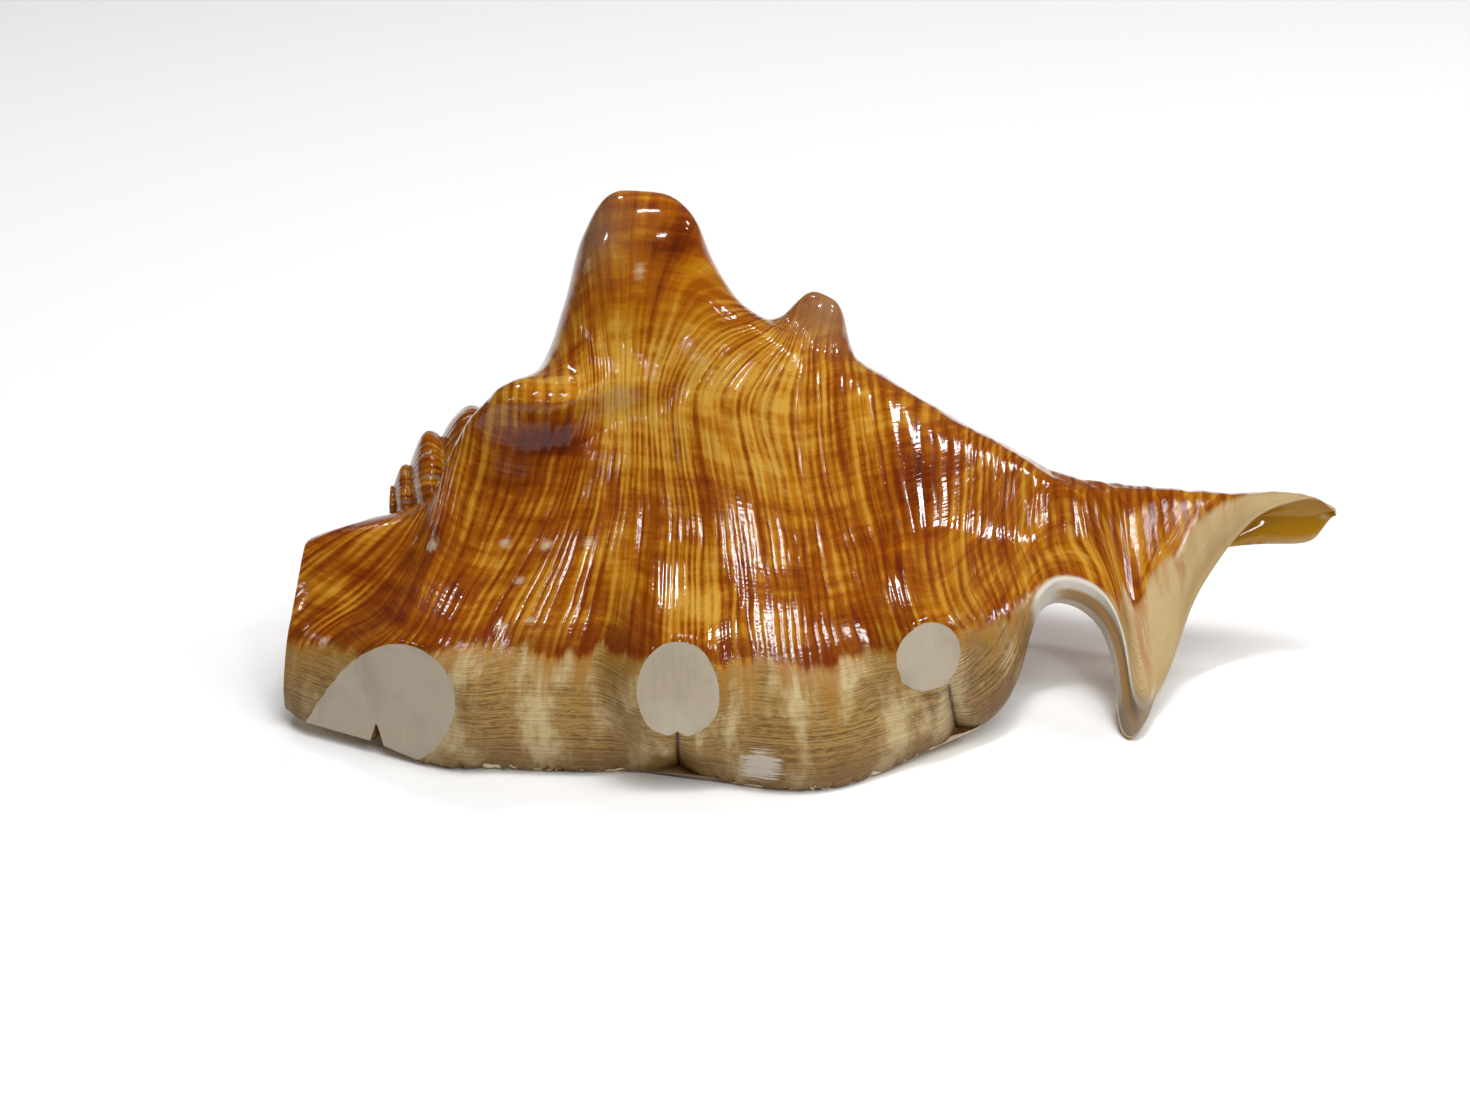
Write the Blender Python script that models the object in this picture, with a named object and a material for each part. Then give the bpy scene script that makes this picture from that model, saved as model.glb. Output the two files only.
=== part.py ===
"""Conch shell with its finger-like spines sawn off, lying on its opening.

The shell grew as one piece, so it is one object. Its body and flared lip are lofted through
rails that run from the spire end (-X) to the siphonal canal (+X). The same rails give the
outer face, the thick lip, and the opening under it. The spire and the stubs of the spines are
joined on, and then the stubs, the spire end and the worn underside are cut flat.
All sizes are in millimetres in a drafting frame, whose X and Y are moved by FOOTPRINT_CENTRE
so that the origin is at the middle of the footprint, on the surface the shell rests on.
"""

import math

import bmesh
import bpy
import numpy as np
from mathutils import Matrix, Vector

MM = 0.001

# Driving sizes
FOOTPRINT_CENTRE = np.array([1.0455, -6.7935, 0.0])
SAWN_END_POINT = (-123, -31, 10)
SAWN_END_FACING = (-1, 0.18, 0.05)

# Thickness: station, of the wing, of the lip edge
THICKNESS = [
    (0.00, 8.0, 12.0), (0.50, 7.5, 12.0), (0.60, 7.0, 10.0), (0.68, 6.0, 7.0), (0.74, 5.0, 6.0),
    (0.78, 2.6, 2.6), (0.86, 2.6, 2.6), (0.90, 2.6, 2.8), (1.00, 1.6, 1.6),
]

# Rails: station along the shell (0 spire end, 1 canal tip), then x, y, z
LIP_EDGE = [
    (0.000, -127, -32, 2), (0.050, -116, -41, 1.5), (0.096, -104, -46, 1), (0.154, -89, -57, -1.5),
    (0.226, -68, -62, -2), (0.284, -53, -63, -2), (0.354, -33, -64, -2), (0.416, -18, -70, -2),
    (0.464, -4, -73, -2), (0.524, 13, -66, -2), (0.572, 30, -52, 0), (0.625, 43, -43, 4),
    (0.665, 49, -34, 12), (0.695, 52, -24, 20), (0.731, 60, -15, 22), (0.755, 67, -18, 18),
    (0.775, 70, -29, 10), (0.792, 70.5, -41, 2), (0.808, 74, -44, 1.7), (0.825, 78.5, -34.5, 5),
    (0.845, 83, -26, 9), (0.870, 89, -14.5, 19.5), (0.890, 94.5, -8, 27), (0.908, 100.5, -3, 34),
    (0.930, 107, 1, 38.5), (0.955, 115, 3, 41), (0.980, 121.5, 4, 41), (1.000, 126, 5, 36.5),
]
LIP_SHOULDER = [
    (0.000, -127, -29, 20), (0.050, -116, -37, 23), (0.096, -103, -42, 25), (0.154, -88, -51, 27),
    (0.226, -70, -56, 28), (0.284, -54, -57, 28), (0.354, -34, -60, 29), (0.416, -19, -63, 29),
    (0.464, -7, -65, 28), (0.524, 8, -61, 28), (0.572, 25, -53, 31), (0.625, 39, -43, 31),
    (0.665, 46, -33, 31), (0.695, 52, -22, 31), (0.731, 61, -15, 29), (0.755, 69, -18, 25),
    (0.775, 73, -28, 17), (0.792, 74.5, -39, 8.5), (0.808, 77, -41, 6), (0.825, 80.5, -32, 9.5),
    (0.845, 84, -24, 13.5), (0.870, 89.5, -13, 24), (0.890, 95, -7.5, 31), (0.908, 101, -4, 36.5),
    (0.930, 108, 0, 41), (0.955, 115, 2.5, 42.5), (0.980, 121.5, 3.5, 42), (1.000, 126, 5, 38),
]
CREST = [
    (0.000, -122, -12, 37), (0.040, -107, -11, 42), (0.070, -96, -9, 44), (0.096, -89, -7, 49),
    (0.125, -85, -4, 58), (0.154, -78, 2, 64), (0.226, -62, 12, 73), (0.284, -50, 18, 80.5),
    (0.354, -35, 20, 84), (0.416, -21, 20, 86), (0.464, -9, 20, 81.5), (0.524, 2, 20, 76),
    (0.572, 14, 20, 70), (0.625, 33, 19, 58), (0.683, 49, 18, 49), (0.731, 61, 16, 42),
    (0.779, 71, 14, 41), (0.846, 88, 12, 41), (0.904, 103, 10, 41), (0.950, 115, 8, 42),
    (1.000, 126, 8, 39),
]
BACK = [
    (0.000, -122, 2, 20), (0.060, -104, 6, 26), (0.105, -92, 16, 30), (0.135, -85, 30, 34),
    (0.165, -77, 42, 37), (0.200, -68, 50, 39), (0.250, -57, 55, 40), (0.320, -42, 57, 41), (0.416, -20, 55, 41),
    (0.524, 2, 50, 40), (0.625, 30, 41, 38), (0.731, 59, 31, 36), (0.846, 85, 22, 35),
    (0.950, 113, 15, 36), (1.000, 126, 10, 37),
]
BELLY = [
    (0.000, -122, -5, 3), (0.060, -104, 0, 2), (0.110, -92, 6, 1), (0.154, -80, 14, 0),
    (0.200, -68, 20, -2), (0.284, -50, 23, -3), (0.416, -20, 22, -3), (0.524, 2, 21, -1),
    (0.625, 30, 18, 8), (0.731, 59, 15, 18), (0.846, 85, 11, 26.5), (0.950, 112, 7, 30),
    (0.980, 121, 7.5, 31), (1.000, 126, 8, 35),
]
INNER_LIP = [
    (0.000, -123, -12, 3), (0.060, -106, -13, 4), (0.154, -82, -13, 6), (0.226, -66, -13, 7),
    (0.354, -34, -13, 8), (0.464, -8, -12, 9), (0.572, 18, -8, 13), (0.683, 46, -3, 19),
    (0.779, 70, 0, 24), (0.880, 95, 1, 29), (0.950, 113, 3, 30), (0.980, 121, 3.5, 31),
    (1.000, 126, 5, 34.5),
]

# How many loops lie between the stations, and how many steps follow each guide of a ring
STATIONS = [0, 0.06, 0.14, 0.22, 0.30, 0.42, 0.55, 0.66, 0.74, 0.86, 0.93, 1]
LOOPS = [4, 6, 5, 6, 8, 7, 7, 7, 9, 4, 4]
STEPS = [2, 3, 3, 3, 3, 3, 3, 4, 4, 3, 2, 2, 2, 2, 1, 2, 2, 1, 1, 2, 2]

# Knobs: centre, reach along X and Y, height, direction, sharpness
KNOBS = [
    ((-41.5, 15, 82), (18.5, 21), 30, (-0.05, 0.02, 1), 3.7),
    ((-46, 15, 82), (8, 12), 2.5, (0, 0, 1), 2),
    ((0.5, 20, 77), (8, 9), 11.5, (0.25, 0.1, 1), 3.4),
    ((-66, -6, 58), (13, 12), 9, (-0.1, -0.6, 1), 2.2),
    ((-54, 44, 62), (10, 10), 9, (-0.4, 0.7, 0.7), 2),
    ((-58, 53, 36), (10, 10), 8, (-0.4, 1, 0), 2),
    ((-57, 42, 12), (10, 10), 6, (-0.4, 0.7, -0.5), 2),
    ((-4, 46, 60), (11, 9), 5, (0.2, 0.7, 0.7), 2),
    ((-8, 53, 38), (11, 9), 4, (0.1, 1, 0), 2),
    ((-64, -15, 68), (17, 9), 5, (0.1, -0.8, 0.6), 2),
]

# Sawn spines: a point on the sawn face, the way it faces, and its outline as it is seen from
# the front, as (x, z) pairs
SAWN_SPINES = [
    ((-100, -50.5, 15), (-0.5, -0.86, 0.08), [
        (-119.5, 1), (-112, 0), (-104.5, 0), (-99, 0), (-91, 1.5), (-85, 8), (-82, 15), (-82, 21),
        (-84.5, 25.5), (-89, 28), (-94, 28.3), (-101.5, 25), (-107.5, 20), (-113, 11.5),
    ]),
    ((-31, -69.5, 23), (0, -1, 0.25), [
        (-31.2, 34.9), (-27, 33.7), (-23.6, 28.9), (-22.3, 23.7), (-23.6, 17.7), (-27.8, 14.7),
        (-32.9, 14.3), (-37.5, 16), (-40, 21.1), (-40, 27.2), (-37.1, 32.4), (-34.1, 34.5),
    ]),
    ((25, -57, 24), (0.28, -1, 0.2), [
        (25, 34.5), (29, 33.1), (31.7, 29.4), (31.7, 24.8), (29, 20.6), (25, 19.2), (20.5, 20.6),
        (18, 24.8), (18, 29.4), (21, 33.1),
    ]),
]
SPINE_ROOT_LENGTH = 14.0

# Seams under the sawn spines: top, bottom, width at the bottom
SEAMS = [
    ((-101, 10), (-101, -2), 4.0),
    ((-31.5, 16), (-31.5, -2), 4.0),
    ((29.5, 19), (35, -2), 4.0),
]

# Spire: apex, length, how fast it widens and where it is full, and the whorls on it
APEX = (-105, 10, 37)
SPIRE_LENGTH = 27.0
SPIRE_SLOPE = 1.6
SPIRE_FULL = 15.0
WHORL_RATIO = 2.0
WHORLS = 3
NODULES_PER_WHORL = 7
NODULE_TURN = 1.75


def spline(points, where):
    """Natural cubic spline through (station, x, y, z) points, read at many stations."""
    knots = np.array([p[0] for p in points], float)
    values = np.array([p[1:] for p in points], float)
    step = np.diff(knots)
    count = len(knots)
    system = np.eye(count)
    right = np.zeros_like(values)
    for i in range(1, count - 1):
        system[i, i - 1:i + 2] = step[i - 1], 2 * (step[i - 1] + step[i]), step[i]
        slopes = (values[i + 1] - values[i]) / step[i] - (values[i] - values[i - 1]) / step[i - 1]
        right[i] = 6 * slopes
    bend = np.linalg.solve(system, right)
    span = np.clip(np.searchsorted(knots, where, side="right") - 1, 0, count - 2)
    width = step[span][:, None]
    after = (where - knots[span])[:, None]
    before = width - after
    return (
        (bend[span] * before ** 3 + bend[span + 1] * after ** 3) / (6 * width)
        + (values[span] / width - bend[span] * width / 6) * before
        + (values[span + 1] / width - bend[span + 1] * width / 6) * after
    )


def ramp(start, end, value):
    """0 before start, 1 after end, and smooth in between."""
    t = np.clip((value - start) / (end - start), 0, 1)
    return t * t * (3 - 2 * t)


def unit(vectors):
    return vectors / (np.linalg.norm(vectors, axis=-1, keepdims=True) + 1e-9)


def guides(stations):
    """The ring of guide points at each station, as [station, guide, xyz]."""
    lip = spline(LIP_EDGE, stations)
    shoulder = spline(LIP_SHOULDER, stations)
    crest = spline(CREST, stations)
    back = spline(BACK, stations)
    belly = spline(BELLY, stations)
    inner = spline(INNER_LIP, stations)
    size = np.linalg.norm(crest - belly, axis=1, keepdims=True) / 84
    body = ((1 - ramp(0.66, 0.80, stations)) * ramp(0.0, 0.2, stations))[:, None]
    closed = (1 - ramp(0.0, 0.17, stations) + 0.8 * ramp(0.88, 1.0, stations))[:, None]
    horn = (ramp(0.70, 0.75, stations) * (1 - ramp(0.86, 0.90, stations)))[:, None]

    front = np.array([0, -1.0, 0])
    up = np.array([0, 0, 1.0])
    wall = (lip + shoulder) / 2 + front * (1.5 + 2.5 * body)
    top = crest + (front * 16 + up * 4) * size
    rise = top - shoulder
    wing = [shoulder + rise * part - up * sag * body for part, sag in ((0.28, 4), (0.52, 8), (0.78, 3))]
    back_high = crest + (back - crest) * 0.5 + (up * 9 - front * 11) * size
    back_low = belly + (back - belly) * 0.5 - (up * 9 + front * 10) * size
    belly_front = belly + (inner - belly) * 0.55 - up * 3 * size
    outer = [lip, wall, shoulder, *wing, top, crest, back_high, back, back_low, belly, belly_front, inner]

    skin, edge_width = (
        np.interp(stations, [row[0] for row in THICKNESS], [row[k] for row in THICKNESS])[:, None]
        for k in (1, 2)
    )
    under_horn = unit(np.array([0.1, 0.8, -0.6]))

    def inwards(along, across):
        return unit(unit(np.cross(across, along)) * (1 - horn) + under_horn * horn)

    ceiling = []
    for index, depth in ((2, skin), (3, skin), (4, skin), (5, skin * (1.2 - 0.2 * horn))):
        along = np.gradient(outer[index], stations, axis=0)
        ceiling.append(outer[index] + inwards(along, outer[index + 1] - outer[index - 1]) * depth)
    edge = np.gradient(lip, stations, axis=0) * np.array([1, 1, 0])
    lip_inner = lip + inwards(edge, up) * edge_width + up * 0.5 * (1 - horn)
    depth = inner + (ceiling[2] - inner) * 0.35 + up * 4 * size
    deep = inner + (ceiling[3] - inner) * 0.72 - front * 6 * size
    cavity = [depth, deep, ceiling[3], ceiling[2], ceiling[1], ceiling[0]]
    slit = (inner + lip_inner) / 2 + np.where(stations < 0.5, 10, 0)[:, None] * up
    slit = slit - np.where(stations > 0.5, 1.5, 0)[:, None] * front
    cavity = [point + (slit - point) * closed for point in cavity]
    return np.stack([*outer, *cavity, lip_inner], axis=1)


def rings(ring_guides, steps):
    """A closed smooth curve around the guides of each station."""
    points = []
    count = ring_guides.shape[1]
    for k in range(count):
        a, b, c, d = (ring_guides[:, (k + i) % count] for i in (-1, 0, 1, 2))
        for t in np.arange(steps[k]) / steps[k]:
            points.append((
                (1 - t) ** 3 * a + (3 * t ** 3 - 6 * t ** 2 + 4) * b
                + (-3 * t ** 3 + 3 * t ** 2 + 3 * t + 1) * c + t ** 3 * d
            ) / 6)
    return np.stack(points, axis=1)


def raise_knobs(points):
    """Push the points near each knob outwards."""
    along = np.gradient(points, axis=0)
    around = np.roll(points, -1, axis=1) - np.roll(points, 1, axis=1)
    facing = unit(np.cross(along, around))
    raised = points.copy()
    for centre, reach, height, direction, sharpness in KNOBS:
        direction = unit(np.array(direction, float))
        offset = points - np.array(centre, float)
        deep = offset @ direction
        offset = offset - deep[..., None] * direction
        spread = np.array([reach[0], reach[1], (reach[0] + reach[1]) / 2])
        distance = np.linalg.norm(offset / spread, axis=-1)
        share = np.exp(-distance ** sharpness) * ramp(-0.2, 0.4, facing @ direction) * ramp(-25, -10, deep)
        raised += (height * share)[..., None] * direction
    return raised


def shell_stations():
    parts = [np.linspace(a, b, n, endpoint=False) for a, b, n in zip(STATIONS, STATIONS[1:], LOOPS)]
    return np.append(np.concatenate(parts), 1.0)


def place(point):
    return Vector((np.array(point, float) - FOOTPRINT_CENTRE) * MM)


def make_object(name, mesh_build, collection):
    """Turn a bmesh drawn in millimetres into an object in metres."""
    for vert in mesh_build.verts:
        vert.co = place(vert.co)
    bmesh.ops.recalc_face_normals(mesh_build, faces=mesh_build.faces)
    mesh = bpy.data.meshes.new(name)
    mesh_build.to_mesh(mesh)
    mesh_build.free()
    made = bpy.data.objects.new(name, mesh)
    collection.objects.link(made)
    return made


def make_body(collection):
    points = raise_knobs(rings(guides(shell_stations()), STEPS))
    loops, around = points.shape[:2]
    build = bmesh.new()
    verts = [[build.verts.new(Vector(points[i, j])) for j in range(around)] for i in range(loops)]
    for i in range(loops - 1):
        for j in range(around):
            k = (j + 1) % around
            build.faces.new((verts[i][j], verts[i][k], verts[i + 1][k], verts[i + 1][j]))
    ends = [build.faces.new(verts[0][::-1]), build.faces.new(verts[-1])]
    bmesh.ops.triangulate(build, faces=ends)
    body = make_object("shell", build, collection)
    for face in body.data.polygons:
        face.use_smooth = True
    return body


def make_spire(collection):
    """A cone of whorls: the spiral dips at each seam and carries a row of nodules."""
    rows = WHORLS * 5
    columns = 45
    build = bmesh.new()
    grid = []
    for i in range(rows + 1):
        radius_share = WHORL_RATIO ** (-(rows - i) / 5)
        ring = []
        for j in range(columns):
            angle = 2 * math.pi * j / columns
            whorl = (i / 5 - angle / (2 * math.pi)) % 1
            bulge = math.sin(math.pi * whorl) ** 0.7
            lump = 0.5 + 0.5 * math.cos(NODULES_PER_WHORL * (angle - NODULE_TURN))
            nodule = lump * math.exp(-((whorl - 0.55) / 0.3) ** 2)
            along = SPIRE_LENGTH * radius_share
            cone = along * SPIRE_SLOPE / (1 + (along / SPIRE_FULL) ** 4) ** 0.25
            radius = cone * (0.80 + 0.24 * bulge + 0.09 * nodule)
            ring.append(build.verts.new((
                APEX[0] + along,
                APEX[1] + radius * math.cos(angle),
                APEX[2] + radius * math.sin(angle),
            )))
        grid.append(ring)
    for lower, upper in zip(grid, grid[1:]):
        for j in range(columns):
            k = (j + 1) % columns
            build.faces.new((lower[j], lower[k], upper[k], upper[j]))
    tip = build.verts.new(APEX)
    base = build.verts.new((APEX[0] + SPIRE_LENGTH, APEX[1], APEX[2]))
    for j in range(columns):
        k = (j + 1) % columns
        build.faces.new((tip, grid[0][j], grid[0][k]))
        build.faces.new((base, grid[-1][j], grid[-1][k]))
    return make_object("spire", build, collection)


def make_spine_root(index, collection):
    """The stub of a spine: a prism whose front is flat where the spine was sawn off."""
    point, facing, outline = SAWN_SPINES[index]
    point = Vector(point)
    facing = Vector(facing).normalized()
    build = bmesh.new()
    front = []
    for x, z in outline:
        y = point.y - ((x - point.x) * facing.x + (z - point.z) * facing.z) / facing.y
        front.append(build.verts.new((x, y, z)))
    face = build.faces.new(front)
    pushed = bmesh.ops.extrude_face_region(build, geom=[face])["geom"]
    back = [item for item in pushed if isinstance(item, bmesh.types.BMVert)]
    bmesh.ops.translate(build, verts=back, vec=-facing * SPINE_ROOT_LENGTH)
    return make_object(f"spine_root_{index}", build, collection)


def make_seam(index, collection):
    """A wedge that opens downwards, cut into the lip below a sawn spine."""
    (top_x, top_z), (low_x, low_z), width = SEAMS[index]
    build = bmesh.new()
    corners = [(top_x, top_z), (low_x + width / 2, low_z), (low_x - width / 2, low_z)]
    near_y, far_y = SEAM_REACH[index]
    near = [build.verts.new((x, near_y, z)) for x, z in corners]
    far = [build.verts.new((x, far_y, z)) for x, z in corners]
    build.faces.new(near)
    build.faces.new(far[::-1])
    for i in range(3):
        k = (i + 1) % 3
        build.faces.new((near[i], near[k], far[k], far[i]))
    return make_object(f"seam_{index}", build, collection)


SEAM_REACH = [(-80, -38), (-80, -57), (-70, -41)]


def make_block(name, low, high, collection):
    build = bmesh.new()
    size = Vector(high) - Vector(low)
    middle = (Vector(high) + Vector(low)) / 2
    bmesh.ops.create_cube(build, size=1, matrix=Matrix.Translation(middle) @ Matrix.Diagonal((*size, 1)))
    return make_object(name, build, collection)


def combine(target, tool, operation):
    tool.hide_render = True
    tool.display_type = "WIRE"
    step = target.modifiers.new(tool.name, "BOOLEAN")
    step.operation = operation
    step.solver = "EXACT"
    step.object = tool


def make_material(name, colour, roughness):
    material = bpy.data.materials.new(name)
    material.use_nodes = True
    shader = material.node_tree.nodes["Principled BSDF"]
    shader.inputs["Base Color"].default_value = (*colour, 1)
    shader.inputs["Roughness"].default_value = roughness
    shader.inputs["Coat Weight"].default_value = 1.0
    return material


def main():
    for old in list(bpy.data.objects):
        bpy.data.objects.remove(old)
    parts = bpy.data.collections.new("conch_shell")
    cutters = bpy.data.collections.new("cutters")
    bpy.context.scene.collection.children.link(parts)
    bpy.context.scene.collection.children.link(cutters)

    shell = make_body(parts)
    combine(shell, make_spire(cutters), "UNION")
    for index in range(len(SAWN_SPINES)):
        combine(shell, make_spine_root(index, cutters), "UNION")
    for index in range(len(SEAMS)):
        combine(shell, make_seam(index, cutters), "DIFFERENCE")
    saw = make_block("saw_at_spire_end", (-60, -100, -100), (0, 100, 100), cutters)
    saw.data.transform(Matrix.Translation(place(FOOTPRINT_CENTRE) - place((0, 0, 0))))
    facing = Vector(SAWN_END_FACING).normalized()
    turn = facing.to_track_quat("-X", "Z").to_matrix().to_4x4()
    saw.data.transform(Matrix.Translation(place(SAWN_END_POINT)) @ turn)
    combine(shell, saw, "DIFFERENCE")
    wear = make_block("wear_underneath", (-190, -120, -60), (190, 120, 0), cutters)
    combine(shell, wear, "DIFFERENCE")
    shell.data.materials.append(make_material("glazed_shell", (0.45, 0.17, 0.03), 0.25))


main()
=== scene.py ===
# %% [markdown]
# A polished spider conch
#
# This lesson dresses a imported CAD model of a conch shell. A spider conch grows by adding a thin
# layer to its lip again and again, so everything on its surface follows two directions: cords
# run from the knobs down to the lip, and faint growth lines run along the lip, across the cords.
# The finger-like spines of this shell were sawn off flush, and it was polished and varnished.

import math

import bmesh
import bpy
import numpy as np
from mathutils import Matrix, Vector


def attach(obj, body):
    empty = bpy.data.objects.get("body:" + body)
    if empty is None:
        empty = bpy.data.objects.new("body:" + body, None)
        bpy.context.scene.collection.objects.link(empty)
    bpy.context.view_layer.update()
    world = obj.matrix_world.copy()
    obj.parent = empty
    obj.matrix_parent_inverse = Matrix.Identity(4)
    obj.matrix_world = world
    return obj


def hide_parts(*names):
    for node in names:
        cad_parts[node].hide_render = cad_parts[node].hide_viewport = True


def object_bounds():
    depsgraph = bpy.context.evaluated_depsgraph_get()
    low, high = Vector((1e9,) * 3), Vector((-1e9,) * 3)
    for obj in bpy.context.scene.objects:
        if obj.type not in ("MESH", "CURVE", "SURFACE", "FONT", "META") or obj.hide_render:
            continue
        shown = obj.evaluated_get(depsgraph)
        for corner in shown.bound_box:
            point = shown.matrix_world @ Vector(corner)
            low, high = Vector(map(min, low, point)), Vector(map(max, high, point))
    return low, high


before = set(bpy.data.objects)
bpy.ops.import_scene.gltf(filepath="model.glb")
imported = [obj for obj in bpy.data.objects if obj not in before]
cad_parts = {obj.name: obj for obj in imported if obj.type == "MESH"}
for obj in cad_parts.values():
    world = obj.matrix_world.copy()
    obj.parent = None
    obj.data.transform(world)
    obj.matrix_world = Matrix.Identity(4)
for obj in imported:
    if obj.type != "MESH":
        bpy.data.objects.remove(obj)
CAD_BOX = [list(map(float, corner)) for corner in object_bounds()]
print("CAD box in metres:", CAD_BOX)

# %% [markdown]
# The drafting frame
#
# The shell is drawn in millimetres, with X along the shell from the spire to the canal, -Y
# towards the flared lip and Z up. The CAD part keeps its origin in the middle of its footprint,
# so every point is moved by the same small step on its way into metres.

# %% Units and the drafting frame
MM = 0.001
FOOTPRINT_CENTRE = np.array([1.0455, -6.7935, 0.0])


def place(points):
    """Drafting millimetres to metres in the CAD frame."""
    return (np.asarray(points, float) - FOOTPRINT_CENTRE) * MM


def deselect():
    if bpy.context.object and bpy.context.object.mode != "OBJECT":
        bpy.ops.object.mode_set(mode="OBJECT")
    bpy.ops.object.select_all(action="DESELECT")


def pick(piece):
    deselect()
    piece.select_set(True)
    bpy.context.view_layer.objects.active = piece
    return piece


# %% [markdown]
# The camera
#
# The photo looks at the lip side from a little above. A long lens from 0.83 m away keeps the
# canal at the right and the spire at the left from shrinking much.

# %% Camera
CAMERA_TARGET = (-18.7, 0.0, 29.5)
CAMERA_DISTANCE = 832.0
CAMERA_ELEVATION = math.radians(22)

deselect()
bpy.ops.object.camera_add()
camera = bpy.context.object
camera.name = "photo_camera"
camera.data.lens = 85
camera.data.sensor_width = 36
camera.data.clip_end = 20
back = Vector((0, -math.cos(CAMERA_ELEVATION), math.sin(CAMERA_ELEVATION)))
camera.location = Vector(place(CAMERA_TARGET)) + back * CAMERA_DISTANCE * MM
camera.rotation_euler = (math.pi / 2 - CAMERA_ELEVATION, 0, 0)
bpy.context.scene.camera = camera
print("camera at", tuple(round(c, 3) for c in camera.location))

# %% [markdown]
# The rails
#
# The body and the flared lip are one skin, bent round like a page that rolls over on itself. Its
# shape is given by six rails that run the length of the shell: the edge of the lip, the
# shoulder where the lip turns down, the crest, the back, the belly and the inner lip. Each rail
# is a short list of places that a smooth curve is drawn through. They are the CAD part's own
# rails, so the finished skin lies where the solid does.

# %% Rails
LIP_EDGE = [
    (0.000, -127, -32, 2), (0.050, -116, -41, 1.5), (0.096, -104, -46, 1), (0.154, -89, -57, -1.5),
    (0.226, -68, -62, -2), (0.284, -53, -63, -2), (0.354, -33, -64, -2), (0.416, -18, -70, -2),
    (0.464, -4, -73, -2), (0.524, 13, -66, -2), (0.572, 30, -52, 0), (0.625, 43, -43, 4),
    (0.665, 49, -34, 12), (0.695, 52, -24, 20), (0.731, 60, -15, 22), (0.755, 67, -18, 18),
    (0.775, 70, -29, 10), (0.792, 70.5, -41, 2), (0.808, 74, -44, 1.7), (0.825, 78.5, -34.5, 5),
    (0.845, 83, -26, 9), (0.870, 89, -14.5, 19.5), (0.890, 94.5, -8, 27), (0.908, 100.5, -3, 34),
    (0.930, 107, 1, 38.5), (0.955, 115, 3, 41), (0.980, 121.5, 4, 41), (1.000, 126, 5, 36.5),
]
LIP_SHOULDER = [
    (0.000, -127, -29, 20), (0.050, -116, -37, 23), (0.096, -103, -42, 25), (0.154, -88, -51, 27),
    (0.226, -70, -56, 28), (0.284, -54, -57, 28), (0.354, -34, -60, 29), (0.416, -19, -63, 29),
    (0.464, -7, -65, 28), (0.524, 8, -61, 28), (0.572, 25, -53, 31), (0.625, 39, -43, 31),
    (0.665, 46, -33, 31), (0.695, 52, -22, 31), (0.731, 61, -15, 29), (0.755, 69, -18, 25),
    (0.775, 73, -28, 17), (0.792, 74.5, -39, 8.5), (0.808, 77, -41, 6), (0.825, 80.5, -32, 9.5),
    (0.845, 84, -24, 13.5), (0.870, 89.5, -13, 24), (0.890, 95, -7.5, 31), (0.908, 101, -4, 36.5),
    (0.930, 108, 0, 41), (0.955, 115, 2.5, 42.5), (0.980, 121.5, 3.5, 42), (1.000, 126, 5, 38),
]
CREST = [
    (0.000, -122, -12, 37), (0.040, -107, -11, 42), (0.070, -96, -9, 44), (0.096, -89, -7, 49),
    (0.125, -85, -4, 58), (0.154, -78, 2, 64), (0.226, -62, 12, 73), (0.284, -50, 18, 80.5),
    (0.354, -35, 20, 84), (0.416, -21, 20, 86), (0.464, -9, 20, 81.5), (0.524, 2, 20, 76),
    (0.572, 14, 20, 70), (0.625, 33, 19, 58), (0.683, 49, 18, 49), (0.731, 61, 16, 42),
    (0.779, 71, 14, 41), (0.846, 88, 12, 41), (0.904, 103, 10, 41), (0.950, 115, 8, 42),
    (1.000, 126, 8, 39),
]
BACK = [
    (0.000, -122, 2, 20), (0.060, -104, 6, 26), (0.105, -92, 16, 30), (0.135, -85, 30, 34),
    (0.165, -77, 42, 37), (0.200, -68, 50, 39), (0.250, -57, 55, 40), (0.320, -42, 57, 41),
    (0.416, -20, 55, 41), (0.524, 2, 50, 40), (0.625, 30, 41, 38), (0.731, 59, 31, 36),
    (0.846, 85, 22, 35), (0.950, 113, 15, 36), (1.000, 126, 10, 37),
]
BELLY = [
    (0.000, -122, -5, 3), (0.060, -104, 0, 2), (0.110, -92, 6, 1), (0.154, -80, 14, 0),
    (0.200, -68, 20, -2), (0.284, -50, 23, -3), (0.416, -20, 22, -3), (0.524, 2, 21, -1),
    (0.625, 30, 18, 8), (0.731, 59, 15, 18), (0.846, 85, 11, 26.5), (0.950, 112, 7, 30),
    (0.980, 121, 7.5, 31), (1.000, 126, 8, 35),
]
INNER_LIP = [
    (0.000, -123, -12, 3), (0.060, -106, -13, 4), (0.154, -82, -13, 6), (0.226, -66, -13, 7),
    (0.354, -34, -13, 8), (0.464, -8, -12, 9), (0.572, 18, -8, 13), (0.683, 46, -3, 19),
    (0.779, 70, 0, 24), (0.880, 95, 1, 29), (0.950, 113, 3, 30), (0.980, 121, 3.5, 31),
    (1.000, 126, 5, 34.5),
]
THICKNESS = [
    (0.00, 8.0, 12.0), (0.50, 7.5, 12.0), (0.60, 7.0, 10.0), (0.68, 6.0, 7.0), (0.74, 5.0, 6.0),
    (0.78, 2.6, 2.6), (0.86, 2.6, 2.6), (0.90, 2.6, 2.8), (1.00, 1.6, 1.6),
]
print("rails:", 6, "points:", sum(map(len, (LIP_EDGE, LIP_SHOULDER, CREST, BACK, BELLY, INNER_LIP))))

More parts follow.
